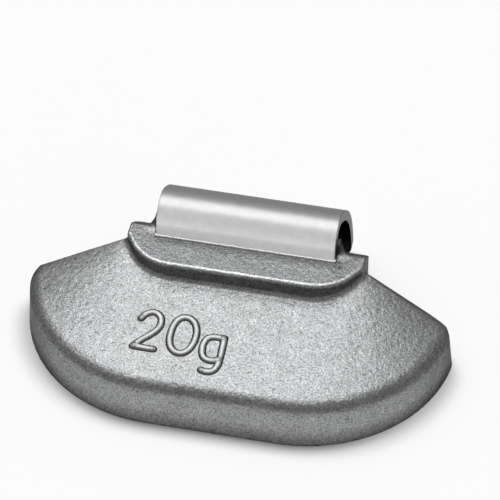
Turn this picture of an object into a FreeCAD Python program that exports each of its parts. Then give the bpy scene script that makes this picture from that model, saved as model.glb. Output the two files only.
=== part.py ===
import FreeCAD, Part
import math
import os

# Clip-on balance weight for the rim of a car wheel, lying on its flat back.
# X runs along the length, Y from the thick round front towards the hook, Z up.
# Every depth below is measured back from the front edge of the pad at the floor.
# The finished pieces are moved at the end, so that the origin is the middle of
# the bottom of the whole part. All sizes are in millimetres.

# pad: the low D-shaped block that carries everything
PAD_LENGTH = 36.3
END_RADIUS = 12.7
CORNER_RADIUS = 2.2
CORNER_INSET = 1.65
BACK_EDGE_AT_NECK = 14.7
BACK_EDGE_DROP = 1.2
RIM_HEIGHT = 4.05
RIM_INSET = 0.5
RIM_END_INSET = 0.2
RIM_CORNER_RADIUS = 3.0
RIM_ROUND = 1.4

# crest: the small outline, hidden in the neck, in which the sloping face ends
CREST_UNDER_LEDGE = 0.85
CREST_COVER = 0.35
CREST_DEPTH = 0.5
CREST_END_RADIUS = 0.35
CREST_CORNER_RADIUS = 0.08

# shoulder slopes: one flat on each side, falling backwards to the pad's back edge
SHOULDER_ANGLE = 42.0
SHOULDER_SETBACK = 0.8
SHOULDER_UNDER_CREST = 0.1
SHOULDER_END_INSET = 2.15
SHOULDER_END_HEIGHT = 3.35

# neck: the raised block with the ledge on top
NECK_HALF_LENGTH = 10.0
NECK_CORNER_REACH = 4.2
NECK_NOSE = 4.15
NECK_BULGE = 2.0
NECK_BEND_RADIUS = 4.2
NECK_BEND_ANGLE = 58.0
NECK_CORNER_ROUND = 0.6
LEDGE_HEIGHT = 7.9
LEDGE_ROUND = 0.3
BACK_SLOPE_ANGLE = 40.0
FOOT_FILLET = 0.5

# clip: one strip of spring steel, with its lower end cast into the neck
STRIP_THICKNESS = 0.85
CLIP_WIDTH = 15.1
CLIP_FRONT = 13.7
ROOT_DEPTH = 5.0
ROLL_RISE = 0.85
ROLL_RADIUS = 2.0
ROLL_END_ANGLE = 60.0
SWEEP_RADIUS = 12.8
TIP_CLEARANCE = 0.15
TIP_CORNER_RADIUS = 1.2

# anchor holes in the cast-in root of the clip, which the casting fills
ANCHOR_DIAMETER = 2.4
ANCHOR_SPACING = 8.0
ANCHOR_DEPTH = 3.0

# web: the tongue of casting behind the front leg of the clip
WEB_WRAP = 0.7
WEB_THICKNESS = 0.6
WEB_HEIGHT = 1.3
WEB_OVERHANG = 0.25
COVE_RADIUS = 1.25
RIDGE_BEHIND_WEB = 0.25

# lip: the small ramp of casting along the front foot of the clip
LIP_DEPTH = 0.22
LIP_STEP = 0.13
LIP_RISE = 0.09
LIP_OVERHANG = 0.1

# how closely an edge must lie on a height or a wall to belong to it
MATCH = 0.01


def vec(x, y, z=0.0):
    return FreeCAD.Vector(x, y, z)


def line(start, end):
    return Part.makeLine(start, end)


def mirrored(shape):
    return shape.mirror(vec(0, 0, 0), vec(1, 0, 0))


def arc(centre, radius, start, end, z=0.0):
    """Arc in a level plane, between two angles in degrees."""
    points = []
    for angle in (start, (start + end) / 2, end):
        turn = math.radians(angle)
        points.append(vec(centre[0] + radius * math.cos(turn), centre[1] + radius * math.sin(turn), z))
    return Part.Arc(points[0], points[1], points[2]).toShape()


def face_of(edges):
    return Part.Face(Part.Wire(Part.__sortEdges__(edges)))


def is_level(edge, height):
    box = edge.BoundBox
    return abs(box.ZMin - height) < MATCH and abs(box.ZMax - height) < MATCH


def back_edge(x):
    """Depth of the pad's back edge at a distance x from the middle."""
    far = pad_half - CORNER_INSET
    return BACK_EDGE_AT_NECK - BACK_EDGE_DROP * (x - NECK_HALF_LENGTH) / (far - NECK_HALF_LENGTH)


def d_outline(z, half_length, front, radius, corner, near, near_depth, slope):
    """Edges of a D-shaped outline: straight front, round ends, rounded back corners.
    From the station near outwards the back edge runs at the given slope."""
    end_x = half_length - radius
    end_y = front + radius
    # the centre of the corner arc lies inside the end arc and off the back edge
    reach = radius - corner
    offset = near_depth - slope * near - corner * math.hypot(1.0, slope)
    a = 1.0 + slope * slope
    b = slope * (offset - end_y) - end_x
    c = end_x * end_x + (offset - end_y) ** 2 - reach * reach
    x = (-b + math.sqrt(b * b - a * c)) / a
    y = slope * x + offset
    side = math.degrees(math.atan2(y - end_y, x - end_x))
    top = 90.0 + math.degrees(math.atan(slope))
    end_arc = arc((end_x, end_y), radius, -90.0, side, z)
    corner_arc = arc((x, y), corner, side, top, z)
    corner_x = x + corner * math.cos(math.radians(top))
    corner_y = y + corner * math.sin(math.radians(top))
    back_line = line(vec(corner_x, corner_y, z), vec(near, near_depth, z))
    front_line = line(vec(-end_x, front, z), vec(end_x, front, z))
    neck_line = line(vec(near, near_depth, z), vec(-near, near_depth, z))
    right = [end_arc, corner_arc, back_line]
    left = [mirrored(edge) for edge in reversed(right)]
    return [front_line] + right + [neck_line] + left


def ruled_block(lower, upper):
    """Solid between two outlines that have the same number of edges."""
    faces = [face_of(list(lower)), face_of(list(upper))]
    for low, high in zip(lower, upper):
        faces.append(Part.makeRuledSurface(low, high))
    shell = Part.makeShell(faces)
    shell.sewShape()
    solid = Part.makeSolid(shell)
    if solid.Volume < 0:
        solid.reverse()
    return solid


# pad and sloping face
pad_half = PAD_LENGTH / 2
back_slope = (back_edge(pad_half) - back_edge(0.0)) / pad_half
base = d_outline(0.0, pad_half, 0.0, END_RADIUS, CORNER_RADIUS,
                 NECK_HALF_LENGTH, BACK_EDGE_AT_NECK, back_slope)
rim_radius = END_RADIUS - RIM_INSET + RIM_END_INSET / 2
rim = d_outline(RIM_HEIGHT, pad_half - RIM_END_INSET, RIM_INSET, rim_radius, RIM_CORNER_RADIUS,
                NECK_HALF_LENGTH, BACK_EDGE_AT_NECK, back_slope)
crest_half = NECK_HALF_LENGTH - CREST_COVER
crest_height = LEDGE_HEIGHT - CREST_UNDER_LEDGE
crest_front = BACK_EDGE_AT_NECK - CREST_DEPTH
crest = d_outline(crest_height, crest_half, crest_front, CREST_END_RADIUS, CREST_CORNER_RADIUS,
                  crest_half - 2 * CREST_END_RADIUS, BACK_EDGE_AT_NECK, 0.0)
body = ruled_block(base, rim).fuse(ruled_block(rim, crest)).removeSplitter()

# shoulder slopes, cut by one plane on each side
shoulder_y = BACK_EDGE_AT_NECK - SHOULDER_SETBACK
shoulder = vec(NECK_HALF_LENGTH, shoulder_y, crest_height - SHOULDER_UNDER_CREST)
shoulder_end_x = pad_half - SHOULDER_END_INSET
shoulder_end = vec(shoulder_end_x, back_edge(shoulder_end_x), SHOULDER_END_HEIGHT)
fall = math.radians(SHOULDER_ANGLE)
normal = (shoulder_end - shoulder).cross(vec(0, math.cos(fall), -math.sin(fall)))
if normal.z < 0:
    normal = normal * -1
above = Part.makeBox(2 * PAD_LENGTH, 2 * PAD_LENGTH, PAD_LENGTH, vec(-PAD_LENGTH, -PAD_LENGTH, 0))
above.Placement = FreeCAD.Placement(shoulder, FreeCAD.Rotation(vec(0, 0, 1), normal))
side = Part.makeBox(PAD_LENGTH, PAD_LENGTH, PAD_LENGTH, vec(crest_half - 3 * CREST_END_RADIUS, 0, 0))
slope_cut = above.common(side)
body = body.cut(slope_cut)
body = body.cut(mirrored(slope_cut))

# round along the rim, made on one half and mirrored
right_space = Part.makeBox(PAD_LENGTH, 2 * PAD_LENGTH, PAD_LENGTH, vec(0, -PAD_LENGTH, 0))
right_half = body.common(right_space)
rim_edges = []
for edge in right_half.Edges:
    if is_level(edge, RIM_HEIGHT) and edge.BoundBox.YMin < back_edge(pad_half) - RIM_ROUND:
        rim_edges.append(edge)
right_half = right_half.makeFillet(RIM_ROUND, rim_edges)
body = right_half.fuse(mirrored(right_half)).removeSplitter()

# neck block
neck_back = BACK_EDGE_AT_NECK + NECK_BULGE
neck_front = BACK_EDGE_AT_NECK - NECK_NOSE
neck_front_half = NECK_HALF_LENGTH - NECK_CORNER_REACH
bend = math.radians(NECK_BEND_ANGLE)
bend_x = neck_front_half + NECK_BEND_RADIUS * math.sin(bend)
bend_y = neck_front + NECK_BEND_RADIUS * (1 - math.cos(bend))
tip_y = bend_y + (NECK_HALF_LENGTH - bend_x) * math.tan(bend)
bend_centre = (neck_front_half, neck_front + NECK_BEND_RADIUS)
bend_arc = arc(bend_centre, NECK_BEND_RADIUS, -90.0, NECK_BEND_ANGLE - 90.0)
straight = line(vec(bend_x, bend_y), vec(NECK_HALF_LENGTH, tip_y))
end_wall = line(vec(NECK_HALF_LENGTH, tip_y), vec(NECK_HALF_LENGTH, neck_back))
right_side = [bend_arc, straight, end_wall]
neck_edges = right_side + [mirrored(edge) for edge in right_side]
neck_edges.append(line(vec(-neck_front_half, neck_front), vec(neck_front_half, neck_front)))
neck_edges.append(line(vec(-NECK_HALF_LENGTH, neck_back), vec(NECK_HALF_LENGTH, neck_back)))
neck = face_of(neck_edges).extrude(vec(0, 0, LEDGE_HEIGHT))
uprights = []
for edge in neck.Edges:
    box = edge.BoundBox
    if box.ZLength > LEDGE_HEIGHT - MATCH and max(abs(box.XMin), abs(box.XMax)) > NECK_HALF_LENGTH - MATCH:
        uprights.append(edge)
neck = neck.makeFillet(NECK_CORNER_ROUND, uprights)

# back slope of the neck, starting at the ridge behind the clip
web_front = CLIP_FRONT + WEB_WRAP
ridge = web_front + RIDGE_BEHIND_WEB
roof = Part.makeBox(2 * PAD_LENGTH, PAD_LENGTH, PAD_LENGTH, vec(-PAD_LENGTH, 0, 0))
lean = FreeCAD.Rotation(vec(1, 0, 0), -BACK_SLOPE_ANGLE)
roof.Placement = FreeCAD.Placement(vec(0, ridge, LEDGE_HEIGHT), lean)
neck = neck.cut(roof)
neck_wall = Part.Wire(Part.__sortEdges__(neck_edges)).extrude(vec(0, 0, LEDGE_HEIGHT))
body = body.fuse(neck).removeSplitter()


def on_neck_wall(edge):
    """True where the middle of an edge lies on the upright walls of the neck."""
    middle = edge.valueAt((edge.FirstParameter + edge.LastParameter) / 2)
    return neck_wall.distToShape(Part.Vertex(middle))[0] < MATCH


# concave fillet where the neck stands on the face, the shoulders and the pad
foot = []
for edge in body.Edges:
    box = edge.BoundBox
    lying = box.ZMin > RIM_HEIGHT and box.ZMax < LEDGE_HEIGHT - LEDGE_ROUND and box.YMax < BACK_EDGE_AT_NECK
    standing = box.ZMin < MATCH and box.ZLength > MATCH and abs(box.YMax - BACK_EDGE_AT_NECK) < LEDGE_ROUND
    if (lying or standing) and on_neck_wall(edge):
        foot.append(edge)
body = body.makeFillet(FOOT_FILLET, foot)

# small round along the front of the ledge
brow = []
for edge in body.Edges:
    if is_level(edge, LEDGE_HEIGHT) and edge.BoundBox.YMax < ridge - MATCH and on_neck_wall(edge):
        brow.append(edge)
body = body.makeFillet(LEDGE_ROUND, brow)

# web behind the front leg
clip_half = CLIP_WIDTH / 2
web_top = LEDGE_HEIGHT + WEB_HEIGHT
web_half = clip_half + WEB_OVERHANG
web_depth = STRIP_THICKNESS + WEB_THICKNESS - WEB_WRAP
web = Part.makeBox(2 * web_half, web_depth, web_top - RIM_HEIGHT, vec(-web_half, web_front, RIM_HEIGHT))
body = body.fuse(web)

# cove at both ends of the web: a quarter turn about an upright axis beside the clip's edge
cove_y = web_front + web_depth
cove_foot = cove_y - CLIP_FRONT
cove_top = cove_foot - COVE_RADIUS
cove_edges = [line(vec(0, web_top), vec(cove_top, web_top))]
cove_edges.append(line(vec(cove_top, web_top), vec(cove_top, LEDGE_HEIGHT + COVE_RADIUS)))
cove_edges.append(arc((cove_foot, LEDGE_HEIGHT + COVE_RADIUS), COVE_RADIUS, 180.0, 270.0))
cove_edges.append(line(vec(cove_foot, LEDGE_HEIGHT), vec(cove_foot, RIM_HEIGHT)))
cove_edges.append(line(vec(cove_foot, RIM_HEIGHT), vec(0, RIM_HEIGHT)))
cove_edges.append(line(vec(0, RIM_HEIGHT), vec(0, web_top)))
cove = face_of(cove_edges).revolve(vec(0, 0, 0), vec(0, 1, 0), -90)
cove.rotate(vec(0, 0, 0), vec(1, 0, 0), 90)
cove.translate(vec(web_half - cove_top, cove_y, 0))
cove = cove.cut(roof)
body = body.fuse([cove, mirrored(cove)])

# lip of casting along the front foot of the clip
lip_half = clip_half + LIP_OVERHANG
lip_front = CLIP_FRONT - LIP_DEPTH
lip_back = CLIP_FRONT + STRIP_THICKNESS / 2
lip_top = LEDGE_HEIGHT + LIP_STEP + LIP_RISE
lip_foot = LEDGE_HEIGHT - LIP_STEP
lip_points = [vec(-lip_half, lip_front, lip_foot), vec(-lip_half, lip_front, LEDGE_HEIGHT + LIP_STEP)]
lip_points += [vec(-lip_half, CLIP_FRONT, lip_top), vec(-lip_half, lip_back, lip_top)]
lip_points += [vec(-lip_half, lip_back, lip_foot), lip_points[0]]
lip = Part.Face(Part.makePolygon(lip_points)).extrude(vec(2 * lip_half, 0, 0))
body = body.fuse(lip).removeSplitter()

# profile of the clip in the YZ plane: straight root and front leg, tight roll, long sweep
root_z = LEDGE_HEIGHT - ROOT_DEPTH
roll_y = CLIP_FRONT + ROLL_RADIUS
roll_z = LEDGE_HEIGHT + ROLL_RISE
turn = math.radians(ROLL_END_ANGLE)
sweep_y = roll_y + (ROLL_RADIUS - SWEEP_RADIUS) * math.cos(turn)
sweep_z = roll_z + (ROLL_RADIUS - SWEEP_RADIUS) * math.sin(turn)
tip = math.asin((TIP_CLEARANCE - sweep_z) / SWEEP_RADIUS)


def on_circle(y, z, radius, angle):
    return vec(0, y + radius * math.cos(angle), z + radius * math.sin(angle))


def strip_side(inset):
    """One long side of the strip, its outer side moved in by the given inset."""
    roll_radius = ROLL_RADIUS - inset
    sweep_radius = SWEEP_RADIUS - inset
    roll = [on_circle(roll_y, roll_z, roll_radius, angle) for angle in (math.pi, (math.pi + turn) / 2, turn)]
    sweep = [on_circle(sweep_y, sweep_z, sweep_radius, angle) for angle in (turn, (turn + tip) / 2, tip)]
    root = vec(0, CLIP_FRONT + inset, root_z)
    edges = [line(root, roll[0]), Part.Arc(*roll).toShape(), Part.Arc(*sweep).toShape()]
    return edges, root, sweep[2]


outer_edges, outer_root, outer_tip = strip_side(0.0)
inner_edges, inner_root, inner_tip = strip_side(STRIP_THICKNESS)
ends = [line(outer_root, inner_root), line(outer_tip, inner_tip)]
clip = face_of(outer_edges + inner_edges + ends).extrude(vec(CLIP_WIDTH, 0, 0))
clip.translate(vec(-clip_half, 0, 0))
tip_edges = []
for edge in clip.Edges:
    box = edge.BoundBox
    if box.XLength < MATCH and box.YMin > neck_back and box.YMax - box.YMin < STRIP_THICKNESS + MATCH:
        tip_edges.append(edge)
clip = clip.makeFillet(TIP_CORNER_RADIUS, tip_edges)
for x in (-ANCHOR_SPACING / 2, ANCHOR_SPACING / 2):
    start = vec(x, CLIP_FRONT - STRIP_THICKNESS, LEDGE_HEIGHT - ANCHOR_DEPTH)
    clip = clip.cut(Part.makeCylinder(ANCHOR_DIAMETER / 2, 3 * STRIP_THICKNESS, start, vec(0, 1, 0)))

# the casting closes tightly round the root, the front foot and the anchor holes
body = body.cut(clip)

# origin: middle of the bottom of the whole part
overall_depth = sweep_y + SWEEP_RADIUS * math.cos(tip)
os.makedirs("parts", exist_ok=True)
for name, shape in (("cast_body", body), ("spring_clip", clip)):
    piece = shape.Solids[0].copy()
    piece.translate(vec(0, -overall_depth / 2, 0))
    piece.exportStep("parts/" + name + ".step")
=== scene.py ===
import math
from collections import namedtuple

import bmesh
import bpy
from bpy.props import FloatProperty, FloatVectorProperty, IntProperty, PointerProperty
from bpy.types import Operator, Panel, PropertyGroup
from mathutils import Matrix, Vector


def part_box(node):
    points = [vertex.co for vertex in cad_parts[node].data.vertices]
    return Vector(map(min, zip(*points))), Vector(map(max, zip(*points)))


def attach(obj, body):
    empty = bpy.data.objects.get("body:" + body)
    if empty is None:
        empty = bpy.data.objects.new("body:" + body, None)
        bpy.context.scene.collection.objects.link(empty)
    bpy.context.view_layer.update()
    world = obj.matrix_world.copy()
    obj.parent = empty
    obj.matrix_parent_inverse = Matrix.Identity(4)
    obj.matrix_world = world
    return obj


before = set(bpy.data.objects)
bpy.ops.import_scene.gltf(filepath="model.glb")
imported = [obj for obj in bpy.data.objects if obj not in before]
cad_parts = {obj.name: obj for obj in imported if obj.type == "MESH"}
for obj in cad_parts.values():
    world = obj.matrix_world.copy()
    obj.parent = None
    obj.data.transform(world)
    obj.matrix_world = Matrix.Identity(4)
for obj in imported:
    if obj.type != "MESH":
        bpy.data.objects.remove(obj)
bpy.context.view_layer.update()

bl_info = {
    "name": "Wheel Balance Weight",
    "version": (1, 0, 0),
    "blender": (4, 5, 0),
    "location": "View3D > Sidebar > Weight",
    "description": "Dresses a clip-on wheel balance weight: casting, clip, marking and stage",
    "category": "Add Mesh",
}

MM = 0.001

# The sloping face of the casting and the ledge above it, as the frame holds them, in millimetres:
# how steeply the face rises, and the depth and height of its front edge.
FACE_RISE = 3.0 / 13.7
FACE_FRONT = -11.039
FACE_FRONT_HEIGHT = 4.05
LEDGE_HEIGHT = 7.9

# The range that holds nearly all values of a noise texture.
NOISE_LOW = 0.3
NOISE_HIGH = 0.7

# The cast skin. Specks and mottles are so many grains wide. A pit has its full tone below the
# first value of the speck noise, and ends at the second. The coarse bump is so many times
# deeper than the fine one.
SPECK_GRAINS = 3
MOTTLE_GRAINS = 12
PIT_FULL = 0.27
PIT_NONE = 0.36
COARSE_BUMP = 2.5

# The share of the sky that is open where the painted shade of a hollow is at its darkest, and
# where it ends.
HOLLOW_SHADE_FULL = 0.06
HOLLOW_SHADE_NONE = 0.48

# Bands in which a tone sets in, each from where it starts to where it is full. The first four
# are heights off the ledge in millimetres: the painted shade on the webs, the painted highlight
# on the ledge's round edge from below and from above, and the painted highlight on the lip. Then
# come the lip's depth behind the front of the strip, also in millimetres, and the Z of the
# normal, which leaves out the level ledge.
WEB_SHADE_BAND = (0.10, 0.40)
EDGE_HIGHLIGHT_FROM_BELOW = (-0.16, -0.06)
EDGE_HIGHLIGHT_FROM_ABOVE = (0.01, -0.005)
LIP_HIGHLIGHT_FROM_BELOW = (0.15, 0.18)
LIP_HIGHLIGHT_FROM_BEHIND = (0.10, 0.04)
EDGE_HIGHLIGHT_TILT = (0.998, 0.985)

# The coat of the strip: the scale and the tones of its clouds, and the tone of the painted shade
# where it meets the casting. A point is on the inner side of the hook, where shade is painted, if
# its normal points at the roll's axis, so that its distance along the normal is negative, and
# these distances in metres part the sides.
CLOUD_SCALE = 1500.0
CLOUD_TONES = (0.93, 1.05)
CONTACT_SHADE_TONE = 0.2
SIDE_BAND = (-0.0003, -0.0001)

# The bead of the marking: the share of its height that is domed, the resolution of its tube,
# the divisions of its round ends, and how near points are merged, as a share of its radius.
BEAD_DOME = 0.12
TUBE_RESOLUTION = 7
END_SEGMENTS = 24
END_RINGS = 18
MERGE_SHARE = 0.01

# Each figure is a corner on the face and its strokes: (closed, points), a point being
# (x, y) in millimetres from that corner. A sharp turn ends one stroke and starts the next.
FIGURES = {
    "figure_two": ((-7.32, -7.66), [
        (False, [(0.16, 2.60), (0.50, 3.08), (1.05, 3.32), (1.58, 3.12), (1.86, 2.55),
                 (1.78, 1.95), (1.40, 1.40), (0.60, 0.62), (0.04, -0.02)]),
        (False, [(0.04, -0.02), (0.92, -0.05), (1.79, -0.05)]),
    ]),
    "figure_nought": ((-4.46, -7.66), [
        (True, [(0.90, 3.30), (1.55, 3.09), (1.98, 2.45), (2.10, 1.72), (1.98, 0.85),
                (1.58, 0.16), (1.02, -0.05), (0.42, 0.22), (0.08, 0.85), (0.00, 1.65),
                (0.12, 2.52), (0.42, 3.07)]),
    ]),
    "letter_g": ((-1.57, -7.91), [
        (False, [(1.56, 2.17), (1.10, 2.16), (0.62, 2.14), (0.20, 1.93), (0.00, 1.50),
                 (-0.01, 0.75), (0.24, 0.18), (0.70, -0.02), (1.10, 0.01), (1.40, 0.11)]),
        (False, [(1.56, 2.17), (1.57, 1.30), (1.57, 0.30), (1.50, -0.45), (1.20, -0.95),
                 (0.72, -1.09), (0.26, -1.00)]),
    ]),
}

# What metal mirrors, as glows: a direction, and stops of (cosine of the angle off it, brightness).
# The first is the soft light overhead, which fades towards the walls of the room. The second
# stands in for the floor, which is darker far off and brighter close by.
GLOWS = (
    ((-0.20, 0.18, 0.95),
     ((0.0, 0.12), (0.30, 0.13), (0.50, 0.13), (0.72, 0.17), (0.86, 0.33), (0.94, 0.92),
      (0.98, 1.10))),
    ((0.0, -0.25, -0.97),
     ((0.0, 0.0), (0.20, 0.03), (0.35, 0.10), (0.50, 0.27), (0.65, 0.26), (0.90, 0.28))),
)

FLOOR_SIDES = 96
FLOOR_ROUGHNESS = 0.9

# The lamps' spread, backward lean and sideways lean, in degrees.
WASH_LIGHT = (26.0, -18.0, 15.0)
FILL_LIGHT = (20.0, 83.0, 0.0)

# The camera: its place in metres, and its directions to the eye and to the picture's right.
CAMERA_PLACE = (0.036932, -0.169594, 0.183391)
TO_EYE = (0.147016, -0.691655, 0.707107)
TO_RIGHT = (0.978148, 0.207912, 0.0)

# The band of painted shade along a piece's foot: a place on it, the direction away from it, the
# height of the band in metres, and the tone that it starts from.
Foot = namedtuple("Foot", "place away height tone")


# ---------------------------------------------------------------- settings
class CastingSettings(PropertyGroup):
    """Colours and grain of the die-cast body."""

    colour: FloatVectorProperty(
        name="Bright metal", description="Colour of the clean cast surface",
        subtype="COLOR", size=3, min=0.0, max=1.0, default=(0.33, 0.334, 0.338))
    roughness: FloatProperty(
        name="Roughness", description="How blurred the reflections are",
        min=0.0, max=1.0, default=0.36, subtype="FACTOR")
    figure_colour: FloatVectorProperty(
        name="Figure metal",
        description="Colour of the raised figures, which handling has brightened",
        subtype="COLOR", size=3, min=0.0, max=1.0, default=(0.36, 0.364, 0.368))
    figure_roughness: FloatProperty(
        name="Figure roughness", description="How blurred the reflections are on the figures",
        min=0.0, max=1.0, default=0.22, subtype="FACTOR")
    figure_grain: FloatProperty(
        name="Figure grain", description="Share of the grain that is left on the figures",
        min=0.0, max=1.0, default=0.3, subtype="FACTOR")
    grain_size: FloatProperty(
        name="Grain size", description="Size of one grain of the cast skin",
        min=0.00002, max=0.001, default=0.00013, precision=5, unit="LENGTH")
    grain_height: FloatProperty(
        name="Grain height", description="Depth of the cast skin's grain",
        min=0.0, max=0.0002, default=0.00002, precision=6, unit="LENGTH")
    grain_contrast: FloatProperty(
        name="Grain contrast", description="How much one grain differs from the next",
        min=0.0, max=1.0, default=0.55, subtype="FACTOR")
    mottling: FloatProperty(
        name="Mottling", description="How much the wide cloudy patches differ",
        min=0.0, max=1.0, default=0.11, subtype="FACTOR")
    pits: FloatProperty(
        name="Pits", description="How dark the small pits are",
        min=0.0, max=1.0, default=0.40, subtype="FACTOR")
    hollow_shade_reach: FloatProperty(
        name="Hollow reach", description="How far off a wall can lie and still darken a hollow",
        min=0.0001, max=0.05, default=0.005, precision=4, unit="LENGTH")
    # Painted shade: how dark the deepest hollows are painted, standing in for the shadow there.
    hollow_shade_tone: FloatProperty(
        name="Hollow tone",
        description="Brightness deep in the hollows, where dirt and shadow gather",
        min=0.0, max=1.0, default=0.08, subtype="FACTOR")
    # Painted shade along the foot of the wall: the height of its band.
    foot_shade_height: FloatProperty(
        name="Foot height", description="Height of the darker band along the foot of the wall",
        min=0.0001, max=0.01, default=0.0017, precision=4, unit="LENGTH")
    # Painted shade along the foot of the wall: its darkest brightness.
    foot_shade_tone: FloatProperty(
        name="Foot tone", description="Brightness of the very foot of the wall",
        min=0.0, max=1.0, default=0.26, subtype="FACTOR")
    # Painted shade on the webs beside the clip, under its hook.
    web_shade_tone: FloatProperty(
        name="Web tone",
        description="Brightness of the webs that stand on the ledge beside the clip",
        min=0.0, max=1.0, default=0.45, subtype="FACTOR")
    # Painted highlight on the ledge's round edge: how much brighter it is.
    edge_highlight: FloatProperty(
        name="Edge shine", description="How much brighter the worn edge of the ledge is",
        min=1.0, max=10.0, default=1.9)
    # Painted highlight on the lip in front of the clip: how much brighter it is.
    lip_highlight: FloatProperty(
        name="Lip shine", description="How much brighter the worn lip in front of the clip is",
        min=1.0, max=20.0, default=6.0)
    grazing_tint: FloatVectorProperty(
        name="Grazing tint", description="Tint of the metal where it turns away from the eye",
        subtype="COLOR", size=3, min=0.0, max=1.0, default=(0.30, 0.30, 0.30))
    edge_round: FloatProperty(
        name="Edge round", description="Radius by which the sharp edges look rounded",
        min=0.0, max=0.001, default=0.00025, precision=5, unit="LENGTH")


class ClipSettings(PropertyGroup):
    """Colours and finish of the spring clip."""

    colour: FloatVectorProperty(
        name="Satin steel", description="Colour of the coated strip",
        subtype="COLOR", size=3, min=0.0, max=1.0, default=(0.48, 0.48, 0.48))
    roughness: FloatProperty(
        name="Roughness", description="How blurred the reflections are",
        min=0.0, max=1.0, default=0.32, subtype="FACTOR")
    metallic: FloatProperty(
        name="Metal share", description="Share of bare metal in the satin coat",
        min=0.0, max=1.0, default=0.55, subtype="FACTOR")
    grazing_tint: FloatVectorProperty(
        name="Grazing tint", description="Tint of the strip where it turns away from the eye",
        subtype="COLOR", size=3, min=0.0, max=1.0, default=(0.20, 0.20, 0.20))
    roll_radius: FloatProperty(
        name="Roll radius", description="Outer radius of the roll at the top of the hook",
        min=0.0001, max=0.05, default=0.002, precision=4, unit="LENGTH")
    # Painted shade on the inner side of the hook: its brightness there.
    inner_shade_tone: FloatProperty(
        name="Inner tone", description="Brightness of the uncoated inner side of the hook",
        min=0.0, max=1.0, default=0.03, subtype="FACTOR")
    # Painted shade where the strip meets the casting: how far off the casting it reaches.
    contact_shade_reach: FloatProperty(
        name="Contact reach", description="How far off the casting still darkens the strip",
        min=0.0001, max=0.05, default=0.0002, precision=5, unit="LENGTH")
    half_width: FloatProperty(
        name="Half width",
        description="Distance of the sheared edges from the middle of the strip",
        min=0.001, max=0.1, default=0.00755, precision=5, unit="LENGTH")
    edge_width: FloatProperty(
        name="Edge width",
        description="Width of the dark line along the sheared edges, and their rounding",
        min=0.0, max=0.001, default=0.0001, precision=5, unit="LENGTH")
    edge_tone: FloatProperty(
        name="Edge tone", description="Brightness of the sheared edges beside the coat",
        min=0.0, max=1.0, default=0.55, subtype="FACTOR")
    bump_height: FloatProperty(
        name="Bump height", description="Depth of the coat's fine texture",
        min=0.0, max=0.0001, default=0.000004, precision=6, unit="LENGTH")


class MarkingSettings(PropertyGroup):
    """Sizes of the raised figures on the face."""

    stroke: FloatProperty(
        name="Stroke width", description="Width of the low bead that the figures are drawn with",
        min=0.0001, max=0.002, default=0.00066, precision=5, unit="LENGTH")
    height: FloatProperty(
        name="Height", description="How far the bead stands off the face",
        min=0.00001, max=0.001, default=0.00021, precision=5, unit="LENGTH")
    # Painted shade along the foot of the bead: the share of its height that it covers.
    foot_shade_share: FloatProperty(
        name="Foot share", description="Share of the bead's height that its dirt line covers",
        min=0.01, max=1.0, default=0.8, subtype="FACTOR")
    # Painted shade along the foot of the bead: its darkest brightness.
    foot_shade_tone: FloatProperty(
        name="Foot tone", description="Brightness of the dirt line along the foot of the bead",
        min=0.0, max=1.0, default=0.30, subtype="FACTOR")
    crest: FloatProperty(
        name="Crest", description="Share of the bead's width that its nearly flat top takes",
        min=0.0, max=0.9, default=0.52, subtype="FACTOR")
    steps: IntProperty(
        name="Steps", description="Steps between two points of a stroke",
        min=2, max=32, default=6)


class StageSettings(PropertyGroup):
    """Light, floor and camera."""

    sky: FloatProperty(
        name="Soft light", description="Strength of the soft light overhead",
        min=0.0, max=20.0, default=2.4)
    wash: FloatProperty(
        name="Floor light", description="Strength of the soft light that whitens the floor",
        min=0.0, max=20.0, default=6.5)
    fill: FloatProperty(
        name="Front light",
        description="Strength of the low light in front, which falls on the clip",
        min=0.0, max=20.0, default=5.9)
    floor: FloatProperty(
        name="Floor radius", description="Radius of the round floor",
        min=0.1, max=20.0, default=4.0, unit="LENGTH")
    floor_colour: FloatVectorProperty(
        name="Floor colour", description="Colour of the floor",
        subtype="COLOR", size=3, min=0.0, max=1.0, default=(0.36, 0.36, 0.36))
    lens: FloatProperty(
        name="Lens", description="Focal length of the camera, in millimetres on a 36 mm sensor",
        min=10.0, max=1000.0, default=216.0)


# ---------------------------------------------------------------- materials
def new_material(name):
    """A new node material and its Principled shader."""
    material = bpy.data.materials.new(name)
    material.use_nodes = True
    return material, material.node_tree.nodes["Principled BSDF"]


def add_node(tree, kind, values=None, **settings):
    node = tree.nodes.new(kind)
    for key, value in settings.items():
        setattr(node, key, value)
    for key, value in (values or {}).items():
        node.inputs[key].default_value = value
    return node


def noise(tree, where, scale, detail, roughness):
    texture = add_node(tree, "ShaderNodeTexNoise",
                       {"Scale": scale, "Detail": detail, "Roughness": roughness})
    tree.links.new(where, texture.inputs["Vector"])
    return texture.outputs["Fac"]


def rise(tree, value, start, full, low=0.0, high=1.0):
    """Climbs from low to high while the value goes from start to full."""
    ramp = add_node(tree, "ShaderNodeMapRange",
                    {"From Min": start, "From Max": full, "To Min": low, "To Max": high})
    tree.links.new(value, ramp.inputs["Value"])
    return ramp.outputs["Result"]


def product(tree, first, *others):
    for other in others:
        node = add_node(tree, "ShaderNodeMath", operation="MULTIPLY")
        tree.links.new(first, node.inputs[0])
        tree.links.new(other, node.inputs[1])
        first = node.outputs["Value"]
    return first


def parts_of(tree, vector):
    """The X, Y and Z of a vector."""
    parts = add_node(tree, "ShaderNodeSeparateXYZ")
    tree.links.new(vector, parts.inputs["Vector"])
    return parts.outputs


def surface_normal(tree):
    return add_node(tree, "ShaderNodeNewGeometry").outputs["Normal"]


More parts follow.
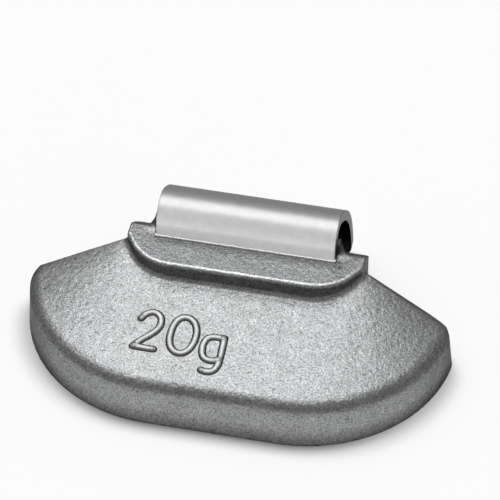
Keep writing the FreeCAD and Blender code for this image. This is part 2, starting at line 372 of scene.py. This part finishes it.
def distance_from(tree, where, place):
    """A node that measures how far off a place a point lies, along the direction that its
    second input is given."""
    way = add_node(tree, "ShaderNodeVectorMath", {1: place}, operation="SUBTRACT")
    tree.links.new(where, way.inputs[0])
    along = add_node(tree, "ShaderNodeVectorMath", operation="DOT_PRODUCT")
    tree.links.new(way.outputs["Vector"], along.inputs[0])
    return along


def shade_in_hollows(tree, tone, reach, deepest):
    """Paints shade into a tone where walls stand close around the surface, down to the deepest
    tone.
    """
    open_sky = add_node(tree, "ShaderNodeAmbientOcclusion", {"Distance": reach}, samples=8)
    return product(tree, tone,
                   rise(tree, open_sky.outputs["AO"], HOLLOW_SHADE_FULL, HOLLOW_SHADE_NONE, deepest, 1.0))


def off_ledge(tree, height, band, low=0.0, high=1.0):
    """Climbs from low to high over a band of heights off the ledge, in millimetres."""
    start, full = band
    return rise(tree, height, (LEDGE_HEIGHT + start) * MM, (LEDGE_HEIGHT + full) * MM, low, high)


def painted_highlights(tree, tone, where, settings):
    """Paints highlights into a tone, on the round edge of the ledge and on the lip in front of the
    clip, where these catch the light overhead."""
    place = parts_of(tree, where)
    edge = product(tree, off_ledge(tree, place["Z"], EDGE_HIGHLIGHT_FROM_ABOVE),
                   off_ledge(tree, place["Z"], EDGE_HIGHLIGHT_FROM_BELOW),
                   rise(tree, parts_of(tree, surface_normal(tree))["Z"], *EDGE_HIGHLIGHT_TILT))
    strip_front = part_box("spring_clip")[0][1]
    start, full = (strip_front + depth * MM for depth in LIP_HIGHLIGHT_FROM_BEHIND)
    lip = product(tree, rise(tree, place["Y"], start, full),
                  off_ledge(tree, place["Z"], LIP_HIGHLIGHT_FROM_BELOW))
    return product(tree, tone, rise(tree, edge, 0.0, 1.0, 1.0, settings.edge_highlight),
                   rise(tree, lip, 0.0, 1.0, 1.0, settings.lip_highlight))


def colour_in(tree, shader, colour, tone):
    """Gives the shader a colour, made darker or brighter by the tone."""
    toned = add_node(tree, "ShaderNodeVectorMath", {0: colour}, operation="SCALE")
    tree.links.new(tone, toned.inputs["Scale"])
    tree.links.new(toned.outputs["Vector"], shader.inputs["Base Color"])


def rounded_edges(tree, radius):
    return add_node(tree, "ShaderNodeBevel", {"Radius": radius}, samples=4).outputs["Normal"]


def bump(tree, normal, texture, depth):
    node = add_node(tree, "ShaderNodeBump", {"Strength": 1.0, "Distance": depth})
    tree.links.new(texture, node.inputs["Height"])
    tree.links.new(normal, node.inputs["Normal"])
    return node.outputs["Normal"]


def cast_material(name, settings, colour, roughness, grain_share, foot):
    """Die-cast metal: sparkling grain, faint mottling, a few pits, painted shade along its foot,
    in its hollows and on the webs beside the clip, and painted highlights on the ledge's edge and
    lip. The grain share tells how much of the grain is left."""
    material, shader = new_material(name)
    tree = material.node_tree
    where = add_node(tree, "ShaderNodeTexCoord").outputs["Object"]
    scale = 1.0 / settings.grain_size
    grain = noise(tree, where, scale, detail=2.0, roughness=0.7)
    specks = noise(tree, where, scale / SPECK_GRAINS, detail=2.0, roughness=0.5)
    mottles = noise(tree, where, scale / MOTTLE_GRAINS, detail=5.0, roughness=0.65)

    contrast = settings.grain_contrast * grain_share
    mottling = settings.mottling
    from_foot = distance_from(tree, where, foot.place)
    from_foot.inputs[1].default_value = foot.away
    tone = product(
        tree,
        rise(tree, grain, NOISE_LOW, NOISE_HIGH, 1.0 - contrast, 1.0 + contrast),
        rise(tree, mottles, NOISE_LOW, NOISE_HIGH, 1.0 - mottling, 1.0 + mottling),
        rise(tree, specks, PIT_FULL, PIT_NONE, 1.0 - settings.pits * grain_share, 1.0),
        # Painted shade along the foot.
        rise(tree, from_foot.outputs["Value"], 0.0, foot.height, foot.tone, 1.0),
        # Painted shade on the webs beside the clip, under its hook.
        off_ledge(tree, parts_of(tree, where)["Z"], WEB_SHADE_BAND, 1.0, settings.web_shade_tone))
    # Painted shade in the hollows, where walls stand close.
    tone = shade_in_hollows(tree, tone, settings.hollow_shade_reach, settings.hollow_shade_tone)
    # Painted highlights on the ledge's round edge and on the lip.
    tone = painted_highlights(tree, tone, where, settings)
    colour_in(tree, shader, colour, tone)

    depth = settings.grain_height * grain_share
    fine = bump(tree, rounded_edges(tree, settings.edge_round), grain, depth)
    coarse = bump(tree, fine, specks, COARSE_BUMP * depth)
    tree.links.new(coarse, shader.inputs["Normal"])
    shader.inputs["Roughness"].default_value = roughness
    shader.inputs["Metallic"].default_value = 1.0
    shader.inputs["Specular Tint"].default_value = (*settings.grazing_tint, 1)
    return material


def clip_material(settings, roll_axis):
    """Satin coated spring steel, darker along its sheared edges, with painted shade inside its
    hook and where it meets the casting.
    """
    material, shader = new_material("satin_steel")
    tree = material.node_tree
    where = add_node(tree, "ShaderNodeTexCoord").outputs["Object"]
    clouds = noise(tree, where, CLOUD_SCALE, detail=5.0, roughness=0.6)

    beside = add_node(tree, "ShaderNodeMath", operation="ABSOLUTE")
    tree.links.new(parts_of(tree, where)["X"], beside.inputs[0])
    outwards = distance_from(tree, where, roll_axis)
    tree.links.new(surface_normal(tree), outwards.inputs[1])
    side = outwards.outputs["Value"]
    tone = product(
        tree,
        rise(tree, clouds, NOISE_LOW, NOISE_HIGH, *CLOUD_TONES),
        rise(tree, beside.outputs["Value"], settings.half_width - settings.edge_width,
             settings.half_width, 1.0, settings.edge_tone),
        # Painted shade on the inner side of the hook.
        rise(tree, side, *SIDE_BAND, settings.inner_shade_tone, 1.0))
    # Painted shade where the strip meets the casting.
    tone = shade_in_hollows(tree, tone, settings.contact_shade_reach, CONTACT_SHADE_TONE)
    colour_in(tree, shader, settings.colour, tone)
    # The inner side of the hook is made fully metal, so that its painted shade stays dark.
    tree.links.new(rise(tree, side, *SIDE_BAND, 1.0, settings.metallic),
                   shader.inputs["Metallic"])

    rounded = rounded_edges(tree, settings.edge_width)
    tree.links.new(bump(tree, rounded, clouds, settings.bump_height), shader.inputs["Normal"])
    shader.inputs["Roughness"].default_value = settings.roughness
    shader.inputs["Specular Tint"].default_value = (*settings.grazing_tint, 1)
    return material


def dress(piece, material):
    piece.data.materials.clear()
    piece.data.materials.append(material)


# ---------------------------------------------------------------- marking
def face_place():
    """The sloping face: its own X and Y lie in the face, Z stands off it. In metres."""
    corner = Vector((0.0, FACE_FRONT * MM, FACE_FRONT_HEIGHT * MM))
    return Matrix.Translation(corner) @ Matrix.Rotation(math.atan(FACE_RISE), 4, "X")


def bead_level(depth, settings):
    """How high the bead stands where a round tube would have the given depth, which goes
    from 0 at the tube's side to 1 at its top."""
    across = 1.0 - math.sqrt(max(0.0, 1.0 - depth * depth))
    flank = min(1.0, across / (1.0 - settings.crest))
    level = (1.0 - BEAD_DOME) * flank + BEAD_DOME * across
    return math.copysign(level, depth) * settings.height


def round_tube(name, corner, strokes, settings):
    """A mesh of round tubes along the strokes, in the plane of the face, and the points at
    which open strokes end."""
    stretch = math.hypot(1.0, FACE_RISE)
    curve = bpy.data.curves.new(name, "CURVE")
    curve.dimensions = "3D"
    curve.bevel_depth = settings.stroke / 2
    curve.bevel_resolution = TUBE_RESOLUTION
    curve.resolution_u = settings.steps
    curve.use_fill_caps = True
    ends = set()
    for closed, points in strokes:
        spline = curve.splines.new("BEZIER")
        spline.bezier_points.add(len(points) - 1)
        spline.use_cyclic_u = closed
        for point, (x, y) in zip(spline.bezier_points, points):
            point.co = ((corner[0] + x) * MM, (corner[1] + y - FACE_FRONT) * stretch * MM, 0.0)
            point.handle_left_type = point.handle_right_type = "AUTO"
        if not closed:
            ends |= {tuple(spline.bezier_points[end].co) for end in (0, -1)}
    drawing = bpy.data.objects.new(name + "_drawing", curve)
    bpy.context.scene.collection.objects.link(drawing)
    bpy.context.view_layer.update()
    evaluated = drawing.evaluated_get(bpy.context.evaluated_depsgraph_get())
    mesh = bpy.data.meshes.new_from_object(evaluated)
    bpy.data.objects.remove(drawing)
    bpy.data.curves.remove(curve)
    return mesh, ends


def raised_bead(name, corner, strokes, settings):
    """A figure drawn with a low bead, half sunk in the face, with a flat crest and round ends."""
    radius = settings.stroke / 2
    mesh, ends = round_tube(name, corner, strokes, settings)
    shape = bmesh.new()
    shape.from_mesh(mesh)
    bmesh.ops.remove_doubles(shape, verts=shape.verts, dist=radius * MERGE_SHARE)
    for end in ends:
        bmesh.ops.create_uvsphere(shape, u_segments=END_SEGMENTS, v_segments=END_RINGS,
                                  radius=radius, matrix=Matrix.Translation(end))
    for vertex in shape.verts:
        depth = max(-1.0, min(1.0, vertex.co.z / radius))
        vertex.co.z = bead_level(depth, settings)
    bmesh.ops.transform(shape, matrix=face_place(), verts=shape.verts)
    bmesh.ops.recalc_face_normals(shape, faces=shape.faces)
    for face in shape.faces:
        face.smooth = True
    shape.to_mesh(mesh)
    shape.free()
    mesh.name = name
    piece = bpy.data.objects.new(name, mesh)
    bpy.context.scene.collection.objects.link(piece)
    return piece


# ---------------------------------------------------------------- operators
class WEIGHT_OT_casting(Operator):
    """Gives the casting its grey cast skin"""

    bl_idname = "weight.casting"
    bl_label = "Casting"

    def execute(self, context):
        settings = context.scene.weight_casting
        # A band of painted shade along the foot of the wall, up from the floor.
        foot = Foot((0.0, 0.0, 0.0), (0.0, 0.0, 1.0), settings.foot_shade_height, settings.foot_shade_tone)
        metal = cast_material("cast_metal", settings, settings.colour, settings.roughness,
                              1.0, foot)
        dress(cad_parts["cast_body"], metal)
        return {"FINISHED"}


class WEIGHT_OT_clip(Operator):
    """Gives the spring clip its satin coat"""

    bl_idname = "weight.clip"
    bl_label = "Spring clip"

    def execute(self, context):
        settings = context.scene.weight_clip
        low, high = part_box("spring_clip")
        roll_axis = (0.0, low[1] + settings.roll_radius, high[2] - settings.roll_radius)
        dress(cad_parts["spring_clip"], clip_material(settings, roll_axis))
        return {"FINISHED"}


class WEIGHT_OT_marking(Operator):
    """Draws the mass in raised figures on the sloping face"""

    bl_idname = "weight.marking"
    bl_label = "Raised marking"

    def execute(self, context):
        casting = context.scene.weight_casting
        marking = context.scene.weight_marking
        face = face_place()
        # A band of painted shade along the foot of each bead, up from the face.
        foot = Foot(face.translation, face.col[2].xyz, marking.foot_shade_share * marking.height,
                    marking.foot_shade_tone)
        metal = cast_material("cast_metal_figures", casting, casting.figure_colour,
                              casting.figure_roughness, casting.figure_grain, foot)
        for name, (corner, strokes) in FIGURES.items():
            piece = raised_bead(name, corner, strokes, marking)
            dress(piece, metal)
            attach(piece, "root")
        return {"FINISHED"}


class WEIGHT_OT_stage(Operator):
    """Sets up the pale floor, the soft light and the camera"""

    bl_idname = "weight.stage"
    bl_label = "Stage"

    def execute(self, context):
        settings = context.scene.weight_stage
        floor = self.floor(settings)
        self.sky(context.scene, settings)
        spread, tilt, turn = WASH_LIGHT
        self.lamp("floor_wash_left", settings.wash / 2, spread, tilt, -turn, floor)
        self.lamp("floor_wash_right", settings.wash / 2, spread, tilt, turn, floor)
        self.lamp("front_fill", settings.fill, *FILL_LIGHT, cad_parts["spring_clip"])
        self.camera(context.scene, settings)
        view = context.scene.view_settings
        view.view_transform = "Standard"
        view.look = "None"
        return {"FINISHED"}

    def floor(self, settings):
        """A round matt floor. Metal doesn't mirror it, but the second glow in its place."""
        shape = bmesh.new()
        bmesh.ops.create_circle(shape, cap_ends=True, segments=FLOOR_SIDES,
                              radius=settings.floor)
        mesh = bpy.data.meshes.new("floor")
        shape.to_mesh(mesh)
        shape.free()
        floor = bpy.data.objects.new("floor", mesh)
        bpy.context.scene.collection.objects.link(floor)
        material, shader = new_material("pale_floor")
        shader.inputs["Base Color"].default_value = (*settings.floor_colour, 1)
        shader.inputs["Roughness"].default_value = FLOOR_ROUGHNESS
        shader.inputs["Specular IOR Level"].default_value = 0.0
        dress(floor, material)
        floor.visible_glossy = False
        return floor

    def sky(self, scene, settings):
        """The soft light of the room, as the sum of its glows."""
        world = bpy.data.worlds.new("studio")
        scene.world = world
        world.use_nodes = True
        tree = world.node_tree
        background = tree.nodes["Background"]
        where = add_node(tree, "ShaderNodeTexCoord")
        both = add_node(tree, "ShaderNodeVectorMath", operation="ADD")
        for number, (axis, stops) in enumerate(GLOWS):
            facing = add_node(tree, "ShaderNodeVectorMath", {1: Vector(axis).normalized()},
                              operation="DOT_PRODUCT")
            tree.links.new(where.outputs["Generated"], facing.inputs[0])
            ramp = add_node(tree, "ShaderNodeValToRGB")
            ramp.color_ramp.interpolation = "EASE"
            elements = ramp.color_ramp.elements
            while len(elements) < len(stops):
                elements.new(0.5)
            for element, (place, light) in zip(elements, stops):
                element.position = place
                element.color = (light, light, light, 1)
            tree.links.new(facing.outputs["Value"], ramp.inputs["Fac"])
            tree.links.new(ramp.outputs["Color"], both.inputs[number])
        tree.links.new(both.outputs["Vector"], background.inputs["Color"])
        background.inputs["Strength"].default_value = settings.sky

    def lamp(self, name, strength, spread, tilt, turn, only):
        """A soft far light that no metal mirrors, leaning back by its tilt and to one side by
        its turn. It lights one object alone, and the others still cast their shadows on it."""
        light = bpy.data.lights.new(name, "SUN")
        light.energy = strength
        light.angle = math.radians(spread)
        lamp = bpy.data.objects.new(name, light)
        lamp.rotation_euler = (math.radians(tilt), math.radians(turn), 0.0)
        lamp.visible_glossy = False
        bpy.context.scene.collection.objects.link(lamp)
        lit = bpy.data.collections.new(name + "_lights")
        lit.objects.link(only)
        lamp.light_linking.receiver_collection = lit

    def camera(self, scene, settings):
        lens = bpy.data.cameras.new("camera")
        lens.lens = settings.lens
        lens.sensor_width = 36.0
        lens.clip_start = 0.01
        lens.clip_end = 20.0
        camera = bpy.data.objects.new("camera", lens)
        scene.collection.objects.link(camera)
        back, right = Vector(TO_EYE), Vector(TO_RIGHT)
        turn = Matrix((right, back.cross(right), back)).transposed().to_4x4()
        camera.matrix_world = Matrix.Translation(CAMERA_PLACE) @ turn
        scene.camera = camera


class WEIGHT_PT_panel(Panel):
    bl_idname = "WEIGHT_PT_panel"
    bl_label = "Balance weight"
    bl_space_type = "VIEW_3D"
    bl_region_type = "UI"
    bl_category = "Weight"

    def draw(self, context):
        for group, kind, operator in PARTS:
            box = self.layout.box()
            settings = getattr(context.scene, group)
            for name in kind.__annotations__:
                box.prop(settings, name)
            box.operator(operator.bl_idname)


# The name of each group of settings on the scene, its class, and the operator that uses it.
PARTS = (
    ("weight_casting", CastingSettings, WEIGHT_OT_casting),
    ("weight_clip", ClipSettings, WEIGHT_OT_clip),
    ("weight_marking", MarkingSettings, WEIGHT_OT_marking),
    ("weight_stage", StageSettings, WEIGHT_OT_stage),
)


def register():
    for group, kind, operator in PARTS:
        bpy.utils.register_class(kind)
        bpy.utils.register_class(operator)
        setattr(bpy.types.Scene, group, PointerProperty(type=kind))
    bpy.utils.register_class(WEIGHT_PT_panel)


def unregister():
    bpy.utils.unregister_class(WEIGHT_PT_panel)
    for group, kind, operator in reversed(PARTS):
        delattr(bpy.types.Scene, group)
        bpy.utils.unregister_class(operator)
        bpy.utils.unregister_class(kind)


def main():
    register()
    bpy.ops.weight.casting()
    bpy.ops.weight.clip()
    bpy.ops.weight.marking()
    bpy.ops.weight.stage()


if __name__ == "__main__":
    main()
